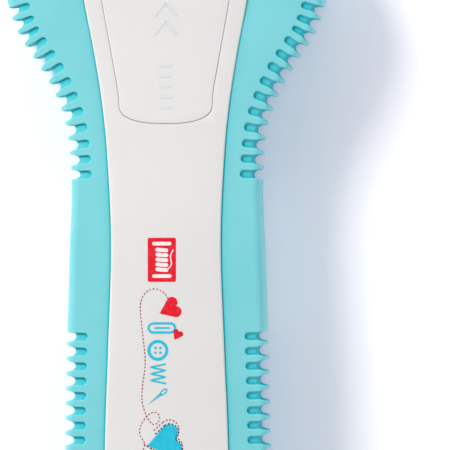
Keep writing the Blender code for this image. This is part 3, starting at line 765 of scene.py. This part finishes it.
def rim_section(offset, plain, top, middle):
    """The upper half of a section through the rim, as (depth, z, sunk) from its outermost point inwards."""
    depth = comb_depth(offset, plain)
    straight = SLOT_END - SLOT_HALF
    slotted = offset is not None and abs(offset) <= SLOT_HALF + 1e-9
    end = straight + (math.sqrt(max(SLOT_HALF ** 2 - offset ** 2, 0.0)) if slotted else 0.0)
    points = []

    def face(t):
        return (t, rim_z(t, top, middle) - edge_drop(offset, t), 0.0)

    if slotted:
        floor_z = top - SLOT_DROP
        wall_top = floor_z - ROOT_ROUND
        points += [(depth, middle + (wall_top - middle) * share, 0.0) for share in (0, 0.3, 0.55, 0.75, 0.9)]
        angles = (0, 25, 50, 75, 90)
        points += [(depth + ROOT_ROUND * (1 - c), wall_top + ROOT_ROUND * s, SLOT_DROP * angle / 90)
                   for angle, (c, s) in zip(angles, turns(*angles))]
        start = depth + ROOT_ROUND
        points += [(start + (end - start) * share, floor_z + 0.08 * share, SLOT_DROP) for share in FIFTHS]
    else:
        for c, s in turns(0, 8, 16, 25, 34, 43, 51, 58, 64, 69):
            t = max(RIM_REACH * (1 - c ** (2 / RIM_POWER)), depth)
            rise = s ** (2 / RIM_POWER)
            points.append((t, middle + (rim_z(RIM_REACH, top, middle) - middle) * rise
                           - edge_drop(offset, t) * rise, 0.0))
        start = points[-1][0]
        points += [face(start + (end - start) * share) for share in FIFTHS]
    points += [face(end + step) for step in EDGE_STEPS]
    last = end + SLOT_EDGE
    return points + [face(last + (RIM - last) * share) for share in (0.08, 0.25, 0.5, 0.75, 1.0)]


def grip_ring(run, offset, plain, side):
    """One cross-section of a grip, square to the outline in its rim."""
    x, y, slope = on_outline(run)
    # The sections turn square to the handle towards the grip's ends.
    turned = min(max(min(y - GRIP_REAR_Y, GRIP_FRONT_Y - y) / 6, 0.0), 1.0)
    crest = crest_height(y) - CROWN - GRIP_DROP
    inner_y = min(max(y + 0.4 * slope * (x - panel_half(y)) * turned, GRIP_REAR_Y), GRIP_FRONT_Y)
    inner_x = panel_half(inner_y) + PANEL_WALL
    rim_scale = min(1.0, 0.85 * (x - inner_x) / RIM)
    top = crest - 0.1
    middle = (top + GRIP_BOTTOM) / 2
    normal = Vector((-1.0, slope * turned)).normalized()
    tangent = Vector((-normal.y, normal.x))
    upper = []
    for t, z, sunk in rim_section(offset, plain, top, middle):
        place = Vector((x, y)) + normal * (t * rim_scale) + tangent * (side * SLOT_LEAN * sunk)
        upper.append((side * place.x, place.y, z))
    ring = [(px, py, 2 * middle - z) for px, py, z in reversed(upper)] + upper[1:]
    wall_x = inner_x - 2 * SEAM_HALF + GRIP_SEAM
    wall = ((inner_x + 0.1, crest), (wall_x + 0.02, crest - 0.01), (wall_x, crest - 0.03),
            (wall_x, GRIP_BOTTOM + 0.1), (inner_x + 0.1, GRIP_BOTTOM))
    return ring + [(side * x, inner_y, z) for x, z in wall]


def make_grip(side, node):
    rings = [grip_ring(*line, side) for line in comb_lines()]
    add_piece(f"{node}_fine", loft(rings), soft_grip(f"turquoise_{node}"), "handle", node, angle=50)


# --- lock lever ---

def lever_outline():
    """The lever's outline from above, as points (x, y), counter-clockwise."""
    right = [ring[2][:2] for ring in lever_rings(0.0, 0.0, 0.0, LEVER_HIGH[2])]
    return right + mirrored(right)


def pillow(outline, spine, low, top, edge):
    """A plate with a rounded upper edge: rings of the outline drawn in towards a spine segment (y, y)."""
    def ring(inset, share, height):
        points = []
        for x, y in outline:
            centre_y = min(max(y, spine[0]), spine[1])
            way = Vector((-x, centre_y - y))
            length = way.length
            move = inset + (length - inset) * share
            px, py = Vector((x, y)) + way * (move / length)
            points.append((px, py, height(px, py)))
        return points
    rings = [ring(0.0, share, low) for share in (0.97, 0.5)]
    rings.append(ring(0.0, 0.0, low))
    for c, s in turns(0, 18, 36, 54, 72, 90):
        rings.append(ring(edge * (1 - c), 0.0, lambda x, y, drop=edge * (1 - s): top(x, y) - drop))
    rings += [ring(edge, share, top) for share in (0.15, 0.35, 0.55, 0.75, 0.9, 0.97)]
    return loft(rings)


def lever_top(x, y):
    return face_z(x, y) + LEVER_PROUD


def make_lever(material):
    plate = pillow(lever_outline(), (LEVER_REAR_Y + 4.5, LEVER_FRONT_Y - 5.5),
                   lambda x, y: crest_height(y) + LEVER_PROUD - LEVER_THICK, lever_top, 0.12)
    lever = add_piece("lock_lever_fine", plate, material, None)
    knuckle = rod(KNUCKLE_RADIUS, -6.4, 6.4, PIN_CENTRE, "X", 32)
    plunger = block((-2.0, 2.0), (4.2, 6.2), (LEVER_LOW[2], crest_height(5.2) - 0.6))
    carve(lever, [rod(0.95, -8, 8, PIN_CENTRE, "X", 24)], (knuckle, plunger))
    finish_piece(lever, "lock_lever", "lock_lever")


def divided(corners):
    """The points of a line through corners, with none of its steps long."""
    points = []
    for before, after in zip(corners, corners[1:]):
        parts = max(int((after - before).length / STROKE_STEP), 1)
        points += [before.lerp(after, k / parts) for k in range(parts)]
    return points + [corners[-1]]


def stamp(bm, outline, low, high, surface, inset=0.0):
    """Adds a thin solid that follows a surface, from low to high above it, inside an outline."""
    outline = divided([Vector(p) for p in outline] + [Vector(outline[0])])[:-1]
    centre = sum(outline, Vector((0, 0))) / len(outline)
    levels = [(0.0, 0.0, low), (0.0, 0.0, high - inset)]
    if inset:
        levels += [(inset * 0.3, 0.0, high - inset * 0.3), (inset, 0.0, high)]
    levels += [(inset, share, high) for share in (0.2, 0.4, 0.6, 0.8, 0.95)]
    rings = []
    for shrink, share, lift in levels:
        ring = []
        for p in outline:
            way = centre - p
            move = shrink + max(way.length - shrink, 0.0) * share
            x, y = p + way.normalized() * min(move, way.length * 0.98)
            ring.append((x, y, surface(x, y) + lift))
        rings.append(ring)
    loft(rings, bm)


def stroke(bm, points, width, low, high, surface, closed=False):
    """Adds a thin line of even width that follows a surface through 2D points."""
    points = [Vector(p) for p in points]
    points = divided(points + points[:1])[:-1] if closed else divided(points)
    count = len(points)
    sections = []
    for i, p in enumerate(points):
        before = points[(i - 1) % count] if closed or i else p
        after = points[(i + 1) % count] if closed or i + 1 < count else p
        along = (after - before).normalized()
        across = Vector((-along.y, along.x)) * width / 2
        corners = ((p + across, low), (p + across, high), (p - across, high), (p - across, low))
        sections.append([(*place, surface(*place) + lift) for place, lift in corners])
    loft(sections, bm, closed)


def arc(centre, radius, start, end, count):
    return [(centre[0] + radius * c, centre[1] + radius * s) for c, s in turns(*steps(start, end, count))]


def circle(centre, radius, count=40):
    return arc(centre, radius, 0, 360, count)[:-1]


def pill(centre, half_length, radius, degrees):
    """A bar with round ends about a centre, turned by an angle."""
    turn = Matrix.Rotation(math.radians(degrees), 2)
    points = arc((half_length, 0), radius, -90, 90, 10) + arc((-half_length, 0), radius, 90, 270, 10)
    return [Vector(centre) + turn @ Vector(p) for p in points]


def make_lever_relief(material):
    """Plain moulded relief on the lever: a double arrow towards the blade and a ladder of small ribs."""
    bm = bmesh.new()
    for tip_y in (14.9, 12.9):
        for side, degrees in ((1, -52), (-1, 232)):
            stamp(bm, pill((side * 0.62, tip_y - 0.8), 0.85, 0.17, degrees), -0.1, 0.022, lever_top, 0.05)
    for i in range(5):
        stamp(bm, pill((0.0, 3.3 + 1.15 * i), 0.62, 0.15, 0), -0.1, 0.016, lever_top, 0.04)
    add_piece("lever_relief", bm, material, "lock_lever", angle=60)


# --- printed decoration ---

PRINT_LOW = -0.05
PRINT_HIGH = 0.015
TAG = ((-0.44, -13.42), 1.55, 2.42)         # centre, half-width, half-height
THREAD = ((0.25, -17.7), (-0.3, -16.95), (-1.3, -16.6), (-2.3, -17.1), (-2.82, -18.5), (-2.6, -21.3),
          (-2.3, -24.6), (-2.62, -27.4), (-2.65, -29.0), (-2.2, -30.5), (-1.5, -31.45), (-0.85, -31.2),
          (-0.8, -30.45), (-1.4, -30.15), (-2.15, -30.6), (-2.8, -31.6), (-2.9, -32.6), (-2.35, -33.7),
          (-2.75, -34.7), (-2.5, -36.2), (-1.4, -37.3))
HEART = (0.57, -33.23)
HEART_LOBE = 0.93
HEART_TURN = 12
DASH = 0.24
DASH_GAP = 0.15
THREAD_WIDTH = 0.12


def heart(middle, lobe, degrees):
    """A heart of two round lobes and straight sides about a middle, with its notch towards an angle."""
    turn = Matrix.Rotation(math.radians(degrees - 90), 2)
    apart, tip = 0.93, 2.9      # how far out the lobes' centres and the tip lie, in lobe radii
    notch_angle = math.degrees(math.atan2(math.sqrt(1 - apart ** 2), -apart))
    tangent = math.degrees(math.atan2(-tip, -apart) + math.acos(1 / math.hypot(apart, tip)))
    side = arc((apart, 0.0), 1.0, tangent, notch_angle, 22)
    points = [(0.0, -tip)] + side + mirrored(side[:-1])
    return [Vector(middle) + turn @ Vector(p) * lobe for p in points]


def dashes(bm, points, width=THREAD_WIDTH, layer=1):
    """Cuts a close path of points into even dashes."""
    run = 0.0
    dash = []
    for before, after in zip(points, points[1:]):
        length = (after - before).length
        pieces = max(int(length / 0.04), 1)
        for k in range(pieces):
            p = before.lerp(after, k / pieces)
            if run % (DASH + DASH_GAP) < DASH:
                dash.append(p)
            else:
                if len(dash) > 2:
                    print_line(bm, [dash[0], dash[len(dash) // 2], dash[-1]], width, layer)
                dash = []
            run += length / pieces


def rounded_box(centre, half_width, half_height, radius):
    points = []
    for sx, sy, start in ((1, -1, -90), (1, 1, 0), (-1, 1, 90), (-1, -1, 180)):
        corner = (centre[0] + sx * (half_width - radius), centre[1] + sy * (half_height - radius))
        points += arc(corner, radius, start, start + 90, 6)
    return points


def print_shape(bm, outline, layer=1):
    stamp(bm, outline, PRINT_LOW, layer * PRINT_HIGH, face_z)


def print_line(bm, points, width, layer=1, closed=False):
    stroke(bm, points, width, PRINT_LOW, layer * PRINT_HIGH, face_z, closed)


def make_red_prints():
    """The tag and two small hearts."""
    bm = bmesh.new()
    print_shape(bm, rounded_box(*TAG, 0.18))
    print_shape(bm, heart((0.89, -18.6), 0.6, 24))
    print_shape(bm, heart((1.34, -21.44), 0.3, 62))
    add_piece("print_red", bm, ink("ink_red", (222, 6, 36)), "handle")


def make_thread():
    """The dashed thread and its line round the large heart."""
    bm = bmesh.new()
    dashes(bm, catmull(THREAD, 10))
    around = heart((HEART[0] - 0.05, HEART[1] + 0.22), HEART_LOBE * 1.14, HEART_TURN)
    dashes(bm, catmull(around, 2, closed=True))
    add_piece("print_thread", bm, ink("ink_thread", (164, 10, 44)), "handle")


def make_spool():
    """A thread spool on the tag: two flanges, five windings and the thread's loose end."""
    bm = bmesh.new()
    x, y = TAG[0]
    for flange_y in (y + 1.78, y - 1.78):
        print_shape(bm, pill((x, flange_y), 0.86, 0.2, 0), 2)
    for i in range(5):
        print_shape(bm, pill((x, y - 1.08 + 0.54 * i), 0.5, 0.21, -5), 2)
    loose_end = ((x + 0.6, y - 1.1), (x + 1.05, y - 0.5), (x + 0.95, y + 0.4), (x + 1.25, y + 1.1))
    print_line(bm, catmull(loose_end, 8), 0.13, 2)
    add_piece("print_spool", bm, ink("ink_white", (250, 226, 226)), "handle")


def make_blue_prints():
    """The large heart, a buttonhole, a four-hole button, a row of zigzag and a needle."""
    bm = bmesh.new()
    print_shape(bm, heart(HEART, HEART_LOBE, HEART_TURN))
    print_line(bm, pill((-0.45, -20.9), 0.95, 0.5, 0), 0.26, closed=True)
    print_line(bm, [(-1.3, -20.9), (0.4, -20.9)], 0.2)
    x, y = (-0.9, -23.35)
    print_line(bm, circle((x, y), 0.98), 0.34, closed=True)
    for dx in (-0.27, 0.27):
        for dy in (-0.27, 0.27):
            print_shape(bm, circle((x + dx, y + dy), 0.15, 16))
    print_line(bm, [(-1.75 if i % 2 else 0.0, -24.85 - 0.36 * i) for i in range(7)], 0.19)
    needle = Vector((2.1, 1.7)).normalized()
    side = Vector((-needle.y, needle.x))
    tail = Vector((0.05, -27.65))
    eye = [tail + needle * 0.42 * (c - 1) + side * 0.2 * s for c, s in turns(*range(0, 360, 15))]
    print_line(bm, eye, 0.14, closed=True)
    neck = tail - needle * 0.8
    print_shape(bm, [neck + side * 0.15, tail - needle * 2.7, neck - side * 0.15])
    add_piece("print_blue", bm, ink("ink_blue", (22, 184, 211)), "handle")


def make_stitches():
    """The large heart's own stitches, just outside its edge."""
    bm = bmesh.new()
    dashes(bm, catmull(heart(HEART, HEART_LOBE * 1.02, HEART_TURN), 2, closed=True), 0.13, 2)
    add_piece("print_stitches", bm, ink("ink_violet", (44, 30, 100)), "handle")


# --- blade unit and cap ---

def fork_outline():
    """The fork from above as (x, y, width of the ground bevel), counter-clockwise."""
    front = HOLDER_HIGH[1] + 2
    plain = 0.07
    right = catmull(((1.7, front), (1.3, 44.5), (2.2, 47.5), (2.95, 51.5), (3.0, 56.0), (2.2, 61.0),
                     (1.35, 64.7)), 8)
    crotch = catmull(((1.0, 63.2), (1.1, 60.0), (1.15, 56.5), (0.85, 53.6), (0.2, 52.2), (-0.6, 52.3),
                      (-1.3, 53.8), (-2.0, 56.0), (-2.5, 57.4)), 8)
    left = catmull(((-3.3, 57.5), (-3.4, 55.0), (-3.05, 51.0), (-2.2, 47.5), (-1.3, 44.5), (-1.7, front)), 8)
    outline = [(-1.9, BLADE_LOW[1], plain), (1.9, BLADE_LOW[1], plain), (1.9, front - 0.5, plain)]
    for x, y in right:
        outline.append((x, y, plain + 0.2 * smoothstep(60, 63, y) * (1 - smoothstep(63, 65, y))))
    outline.append((1.02, BLADE_HIGH[1], 0.02))
    for x, y in crotch:
        throat = 0.55 * smoothstep(57.0, 53.5, y)
        prong = 0.25 * smoothstep(57.0, 61.0, y) * (1 - smoothstep(62, 63.2, y))
        outline.append((x, y, max(plain, throat + prong)))
    outline += [(x, y, plain) for x, y in ((-2.7, 58.6), (-3.15, 58.6), *left)]
    outline.append((-1.9, front - 0.5, plain))
    return outline


def make_blade():
    outline = fork_outline()
    count = len(outline)
    half = (BLADE_HIGH[2] - BLADE_LOW[2]) / 2
    sections = []
    for i, (x, y, ground) in enumerate(outline):
        before = Vector(outline[i - 1][:2])
        after = Vector(outline[(i + 1) % count][:2])
        along = (after - before).normalized()
        inward = Vector((-along.y, along.x)) * ground
        flat = (x + inward.x, y + inward.y)
        land = half - 0.07 if ground < 0.1 else max(half - ground, 0.03)
        sections.append(((*flat, PARTING_Z + half), (x, y, PARTING_Z + land),
                         (x, y, PARTING_Z - land), (*flat, PARTING_Z - half)))
    add_piece("ripper_blade_fine", loft(zip(*sections)), steel("steel_blade", 0.2, (1.0, 0.03, 1.0)),
              "blade_unit", "ripper_blade", angle=25)


def make_ball():
    """The moulded ball on the short prong, with a small sleeve towards the prong and a parting line."""
    radius = 1.3
    x, y = (BALL_LOW[0] + BALL_HIGH[0]) / 2, BALL_HIGH[1] - radius
    profile = [(-1.75, 0.01), (-1.75, 0.62), (-1.6, 0.72), (-1.3, 0.74), (-1.12, 0.8)]
    profile += [(radius * s, radius * c) for c, s in turns(*range(-50, 90, 10))]
    profile.append((radius, 0.01))
    rings = []
    for along, width in profile:
        ring = []
        for i, (c, s) in enumerate(turns(*range(0, 360, 9))):
            reach = width + (0.03 if i % 20 == 0 and width > 0.5 else 0.0)
            ring.append((x + reach * c, y + along, PARTING_Z + width * s))
        rings.append(ring)
    add_piece("safety_ball_fine", loft(rings), red_plastic("red_ball"), "blade_unit", "safety_ball", angle=40)


def make_holder():
    """The holder: a bar in the handle and an oval boss in front with a groove for the cap's bead."""
    rear = BOSS_REAR_Y
    front = HOLDER_HIGH[1]
    path = [(0.25, rear), (0.0, rear + 0.25), (0.0, rear + 1.4), (0.22, rear + 1.6), (0.22, rear + 2.1),
            (0.0, rear + 2.3), (0.0, front - 1.2)]
    path += [(1 - c, front - 1.2 * (1 - s)) for c, s in turns(15, 30, 45, 60, 75, 90)]
    boss = (HOLDER_HIGH[0], PARTING_Z - HOLDER_LOW[2])
    rings = [oval(y, boss, shrink) for shrink, y in path]
    white = white_plastic("white_holder", 0.3, (228, 227, 224), painted_seam_shade=False)
    holder = add_piece("blade_holder_fine", loft(rings), white, None)
    bar = block((-3.0, 3.0), (HOLDER_LOW[1], rear + 1), (3.8, 8.2))
    cover_seat = block((-2.2, 2.2), (14.0, 33.0), (5.2, 9.0))
    blade_slot = block((-2.05, 2.05), (32.0, front + 1), (5.25, 6.75))
    latch_notch = block((-2.3, 2.3), (9.0, 10.6), (2.8, 5.0))
    carve(holder, (cover_seat, blade_slot, latch_notch), [bar])
    soften(holder, 0.15, lambda p: p.y > front - 0.4)
    finish_piece(holder, "blade_unit", "blade_holder")


def cap_skin(shrink, tip_y, bead):
    """Rings of one skin of the cap from its mouth to its rounded tip."""
    mouth = CAP_LOW[1]
    round_y = 60.0
    half_mouth = (CAP_HIGH[0], CAP_HIGH[2] - PARTING_Z)
    grooves = (1.25, 3.4)
    places = [(mouth + step, 1.0) for step in (0.25, 0.9, 1.0, 1.25, 1.5, 1.6, 3.0, 3.1, 3.4, 3.7, 3.8)]
    places += [(47.0, 1.0), (round_y, 1.0)]
    places += [(round_y + (tip_y - round_y) * s, c) for c, s in turns(*range(6, 90, 6))]
    rings = [oval(mouth, half_mouth, shrink * 0.8 + 0.12)]
    for y, size in places:
        taper = 0.3 * (min(y, round_y) - mouth) / (round_y - mouth)
        dent = bead if any(abs(y - mouth - groove) < 0.2 for groove in grooves) else 0.0
        rings.append(oval(y, [(half - taper - shrink - dent) * size for half in half_mouth]))
    return rings


def make_cap():
    outer = cap_skin(0.0, CAP_HIGH[1], 0.15)
    inner = cap_skin(1.0, CAP_HIGH[1] - 1.0, 0.0)
    add_piece("clear_cap_fine", loft(outer[::-1] + inner), clear_plastic("clear_styrene"), "cap", "clear_cap",
              angle=30)


def make_screw(name):
    """A countersunk shell screw seen from below: domed head, cross recess, plain shank."""
    x, y = screw_centre(name)
    low, high = (corner[2] for corner in node_box(name))
    head = 1.3
    profile = [(low, 0.01), (low + 0.02, 0.6), (low + 0.1, 1.1), (low + 0.25, 1.45), (low + 0.5, 1.7),
               (low + 0.8, 1.8), (low + head, 1.8), (low + head + 0.15, 1.0), (high - 1.0, 1.0), (high, 0.3)]
    rings = [[(*place, z) for place in circle((x, y), radius)] for z, radius in profile]
    screw = add_piece(f"{name}_fine", loft(rings), steel(f"steel_{name}"), None)
    long, short = 1.1, 0.22
    carve(screw, (block((x - long, x + long), (y - short, y + short), (low - 1, low + 0.75)),
                  block((x - short, x + short), (y - long, y + long), (low - 1, low + 0.751))))
    finish_piece(screw, "handle", name)


# --- stage, lights, camera ---

VIEW_WIDTH = 49.5           # what the frame spans at the height of the face
VIEW_CENTRE = (6.42, -9.77)
VIEW_DISTANCE = 1500.0
VIEW_TILT = 1.65            # degrees that the camera leans to the right
VIEW_ROLL = -0.2            # degrees that it is turned about its own axis
FACE_Z = 10.5
SKY_RING = 42.0             # degrees from overhead where the sky is fully bright
SKY_HOLE = 24.0             # degrees from overhead where it is darkest
SKY_STRENGTH = 0.96
SKY_HOLE_STRENGTH = 0.15
FLOOR_HALF = 3000.0


def make_floor():
    bm = bmesh.new()
    bmesh.ops.create_grid(bm, x_segments=8, y_segments=8, size=FLOOR_HALF)
    bmesh.ops.translate(bm, verts=bm.verts, vec=(0, 0, -0.03))
    floor = add_piece("floor", bm, floor_paper("studio_paper"), None)


def make_key():
    """A large round light, high and far to the left of the blade's end."""
    data = bpy.data.lights.new("key", "AREA")
    data.shape = "DISK"
    data.size = 750 * MM
    data.energy = 39.0
    data.color = (1.0, 0.958, 0.896)
    light = add_object("key", data)
    place = Vector((-1200, 1290, 1440))
    light.location = place * MM
    light.rotation_euler = (Vector((5, 0, 5)) - place).to_track_quat("-Z", "Y").to_euler()


def make_sky():
    """A bright ring of soft light all round that is dark overhead."""
    world = bpy.data.worlds.new("studio")
    world.use_nodes = True
    tree = world.node_tree
    place = add_node(tree, "TexCoord").outputs["Generated"]
    height = add_node(tree, "SeparateXYZ", Vector=place).outputs["Z"]
    ring, hole = (math.cos(math.radians(angle)) for angle in (SKY_RING, SKY_HOLE))
    strength = add_node(tree, "MapRange", Value=height, From_Min=ring, From_Max=hole, To_Min=SKY_STRENGTH,
                        To_Max=SKY_HOLE_STRENGTH).outputs["Result"]
    fill(tree, tree.nodes["Background"], Color=(0.923, 0.954, 1.0, 1.0), Strength=strength)
    bpy.context.scene.world = world


def make_camera():
    data = bpy.data.cameras.new("camera")
    data.sensor_width = 36.0
    data.lens = data.sensor_width * VIEW_DISTANCE / VIEW_WIDTH
    data.clip_start = 0.01
    camera = add_object("camera", data)
    tilt = math.radians(VIEW_TILT)
    way = Vector((math.sin(tilt), 0.0, math.cos(tilt)))
    camera.location = (Vector((*VIEW_CENTRE, FACE_Z)) + way * VIEW_DISTANCE) * MM
    camera.rotation_euler = (0.0, tilt, math.radians(VIEW_ROLL))
    bpy.context.scene.camera = camera


def dress(node, material):
    """Gives its material to a CAD node that keeps its own shape."""
    materials = bpy.data.objects[node].data.materials
    materials.clear()
    materials.append(material)


def main():
    bpy.context.scene.view_settings.view_transform = "Standard"
    make_camera()
    make_sky()
    make_key()
    make_floor()
    make_upper_shell()
    make_lower_shell()
    make_collar()
    make_grip(-1, "left_grip")
    make_grip(1, "right_grip")
    lever_white = white_plastic("white_lever", 0.3, (225, 223, 222))
    make_lever(lever_white)
    make_lever_relief(lever_white)
    make_red_prints()
    make_thread()
    make_spool()
    make_blue_prints()
    make_stitches()
    make_holder()
    make_blade()
    make_ball()
    make_cap()
    for name in SCREWS:
        make_screw(name)
    dress("blade_holder_cover", white_plastic("white_cover", 0.34, painted_seam_shade=False))
    dress("holder_rivet_front", steel("steel_rivet_front"))
    dress("holder_rivet_rear", steel("steel_rivet_rear"))
    dress("lever_pin", steel("steel_pin", 0.22, (0.05, 1, 1)))
    dress("latch_spring", steel("steel_spring", 0.3, (1.0, 0.05, 1.0), (188, 190, 196)))
    dress("latch_spring_screw", steel("steel_spring_screw"))


main()
